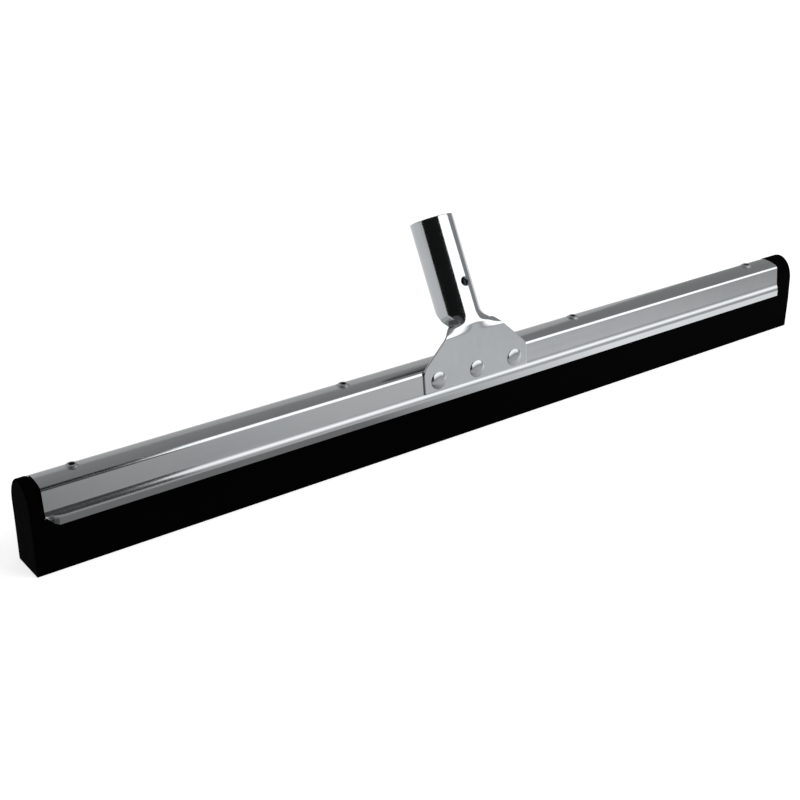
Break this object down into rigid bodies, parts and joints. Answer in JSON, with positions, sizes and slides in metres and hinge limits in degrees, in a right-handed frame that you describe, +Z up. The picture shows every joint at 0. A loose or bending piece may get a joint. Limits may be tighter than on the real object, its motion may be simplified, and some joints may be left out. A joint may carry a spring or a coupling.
{
  "type": "floor squeegee",
  "caption": "Floor squeegee head: a folded black foam blade in a riveted galvanised sheet frame, with a leaning rolled socket for a screwed-in handle.",
  "frame": {"origin": "on the floor, under the middle of the sheet frame and between the two lips of the blade", "axes": "+X along the blade to the right, -Y to the front where the socket's plate is riveted, +Z up; the handle leans back towards +Y"},
  "size_m": [0.55, 0.0588, 0.1231],
  "materials": {
    "black_foam": "matt, fine closed cells",
    "galvanised_sheet": "satin zinc coating",
    "zinc_plated_socket": "bright zinc plating",
    "rivet_steel": "bright zinc plating",
    "strip_steel": "plain rolled steel"
  },
  "bodies": {
    "root": {"foam_blade": "black_foam", "frame_channel": "galvanised_sheet", "retaining_strip": "strip_steel", "ridge_rivet_far_left": "rivet_steel", "ridge_rivet_left": "rivet_steel", "ridge_rivet_right": "rivet_steel", "ridge_rivet_far_right": "rivet_steel", "handle_socket": "zinc_plated_socket", "socket_rivet_left": "rivet_steel", "socket_rivet_centre": "rivet_steel", "socket_rivet_right": "rivet_steel"}
  },
  "joints": []
}
